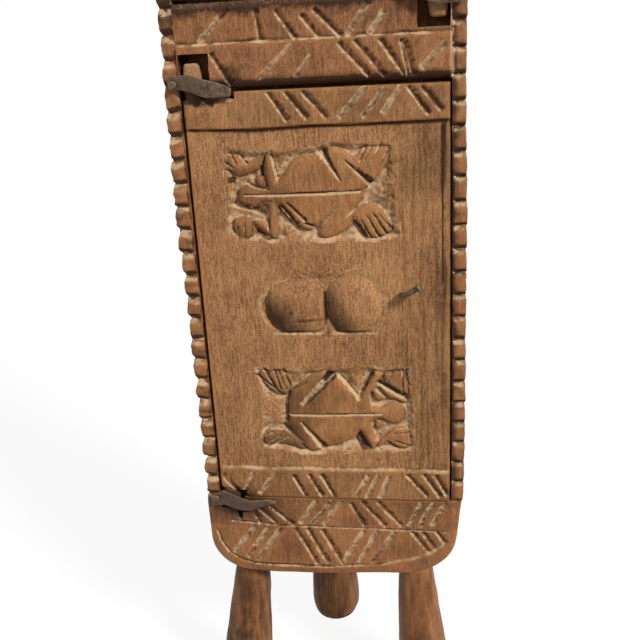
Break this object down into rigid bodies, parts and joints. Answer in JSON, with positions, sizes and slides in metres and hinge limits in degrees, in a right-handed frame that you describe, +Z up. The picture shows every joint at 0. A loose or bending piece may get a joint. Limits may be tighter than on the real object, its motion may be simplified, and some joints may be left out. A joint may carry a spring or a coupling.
{
  "type": "carved wooden standing box",
  "caption": "Tall log-carved wooden box on three legs, with two peg-hinged carved doors held by forged iron straps and opened by bent nails.",
  "frame": {"origin": "on the ground, under the middle of the whole box's outline", "axes": "+Z up, +X to the right as seen from the front, +Y from the front to the back"},
  "size_m": [0.223, 0.1742, 0.9866],
  "materials": {
    "body_wood": "worn, handled, dusty in the cuts",
    "door_wood": "worn, handled, dusty in the cuts",
    "forged_iron": "dark, dull, rough from the forge"
  },
  "bodies": {
    "box": {"box_body": "body_wood", "lower_door_head_strap": "forged_iron", "lower_door_foot_strap": "forged_iron", "upper_door_head_strap": "forged_iron", "upper_door_foot_strap": "forged_iron", "lower_door_head_strap_nail": "forged_iron", "lower_door_foot_strap_nail": "forged_iron", "upper_door_head_strap_nail": "forged_iron", "upper_door_foot_strap_nail": "forged_iron"},
    "lower_door": {"lower_door": "door_wood", "lower_door_pull": "forged_iron"},
    "upper_door": {"upper_door": "door_wood", "upper_door_pull": "forged_iron"}
  },
  "joints": [
    {"name": "lower_door_hinge", "type": "hinge", "parent": "box", "child": "lower_door", "pos_m": [-0.08067, -0.06559, 0.3715], "axis": [0, 0, -1], "range_deg": [0, 95]},
    {"name": "upper_door_hinge", "type": "hinge", "parent": "box", "child": "upper_door", "pos_m": [0.09083, -0.06559, 0.7551], "axis": [0, 0, 1], "range_deg": [0, 95]}
  ]
}
